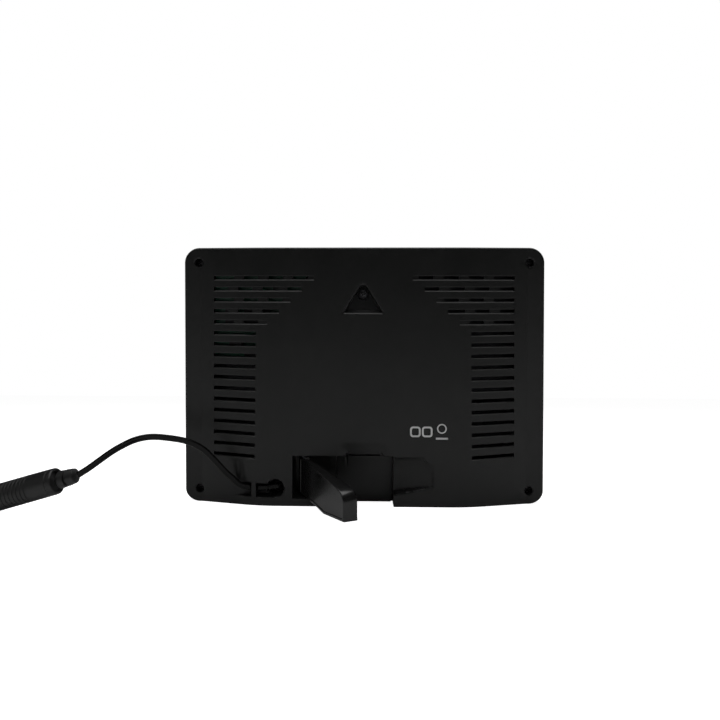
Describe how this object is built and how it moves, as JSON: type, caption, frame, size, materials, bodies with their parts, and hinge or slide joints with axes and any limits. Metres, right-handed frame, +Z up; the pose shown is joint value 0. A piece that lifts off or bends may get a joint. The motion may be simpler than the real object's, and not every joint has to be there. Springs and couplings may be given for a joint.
{
  "type": "digital photo frame",
  "caption": "Table-top digital photo frame: flat screen in a black plastic case with a ribbed rear cover, a side-swinging stand leg, press keys and a trailing power lead with an in-line socket.",
  "frame": {"origin": "on the table, under the middle of the standing frame's footprint, the lead not counted", "axes": "+Z up; -Y out of the screen, +Y out of the back; +X to the right of someone who looks at the screen; the panel leans back 10.3 degrees"},
  "size_m": [0.275, 0.0644, 0.1362],
  "materials": {
    "case": "fine-grained matt black moulding with a soft sheen",
    "stand_leg": "satin black moulding, smoother than the case",
    "display_glass": "flat polished cover over a dark display",
    "diffuser": "white frosted sheet",
    "bright_steel": "bare bright steel",
    "dark_steel": "blackened steel, slightly worn",
    "circuit_board": "green solder mask",
    "chip_plastic": "moulded black, matt",
    "can_metal": "bright drawn can",
    "key_plastic": "polished black",
    "remote_plastic": "very dark red, clear to infrared",
    "speaker_cone": "black paper cone and frame",
    "soft_rubber": "soft black vinyl, dull",
    "ribbon": "pale flat ribbon",
    "contact_metal": "plated contact"
  },
  "bodies": {
    "case": {"rear_cover": "case", "front_bezel": "case", "inner_lead": "soft_rubber", "power_lead": "soft_rubber", "speaker_left": "speaker_cone", "speaker_right": "speaker_cone", "dc_socket_body": "soft_rubber", "lead_grommet": "soft_rubber", "lead_boot": "soft_rubber", "case_screw_1": "dark_steel", "case_screw_2": "dark_steel", "case_screw_3": "dark_steel", "case_screw_4": "dark_steel", "hanger_screw": "dark_steel", "main_board": "circuit_board", "dc_socket_sleeve": "contact_metal", "lcd_chassis": "bright_steel", "leg_friction_washer": "bright_steel", "remote_receiver": "remote_plastic", "capacitor_large": "can_metal", "capacitor_small": "can_metal", "board_screw_1": "bright_steel", "board_screw_2": "bright_steel", "board_screw_3": "bright_steel", "dc_socket_pin": "contact_metal", "leg_hinge_pin": "bright_steel", "power_switch": "chip_plastic", "menu_switch": "chip_plastic", "previous_switch": "chip_plastic", "play_switch": "chip_plastic", "next_switch": "chip_plastic", "return_switch": "chip_plastic", "lcd_ribbon": "ribbon", "usb_port": "bright_steel", "card_reader": "bright_steel", "remote_window": "remote_plastic", "lcd_glass": "display_glass", "lcd_backlight": "diffuser", "processor_chip": "chip_plastic", "memory_chip": "chip_plastic", "flash_chip": "chip_plastic", "power_coil": "chip_plastic", "clock_crystal": "can_metal", "lead_header": "chip_plastic", "keypad_board": "circuit_board"},
    "leg": {"stand_leg": "stand_leg"},
    "power_button": {"power_key": "key_plastic"},
    "menu_button": {"menu_key": "key_plastic"},
    "previous_button": {"previous_key": "key_plastic"},
    "play_button": {"play_key": "key_plastic"},
    "next_button": {"next_key": "key_plastic"},
    "return_button": {"return_key": "key_plastic"}
  },
  "joints": [
    {"name": "leg_hinge", "type": "hinge", "parent": "case", "child": "leg", "pos_m": [0.0305, -0.00671, 0.0151], "axis": [0, 0.1788, 0.9839], "range_deg": [0, 56.5]},
    {"name": "power_press", "type": "slide", "parent": "case", "child": "power_button", "axis": [0, -0.1788, -0.9839], "range_m": [0, 0.0008], "stiffness_N_per_m": 700},
    {"name": "menu_press", "type": "slide", "parent": "case", "child": "menu_button", "axis": [0, -0.1788, -0.9839], "range_m": [0, 0.0008], "stiffness_N_per_m": 700},
    {"name": "previous_press", "type": "slide", "parent": "case", "child": "previous_button", "axis": [0, -0.1788, -0.9839], "range_m": [0, 0.0008], "stiffness_N_per_m": 700},
    {"name": "play_press", "type": "slide", "parent": "case", "child": "play_button", "axis": [0, -0.1788, -0.9839], "range_m": [0, 0.0008], "stiffness_N_per_m": 700},
    {"name": "next_press", "type": "slide", "parent": "case", "child": "next_button", "axis": [0, -0.1788, -0.9839], "range_m": [0, 0.0008], "stiffness_N_per_m": 700},
    {"name": "return_press", "type": "slide", "parent": "case", "child": "return_button", "axis": [0, -0.1788, -0.9839], "range_m": [0, 0.0008], "stiffness_N_per_m": 700}
  ]
}
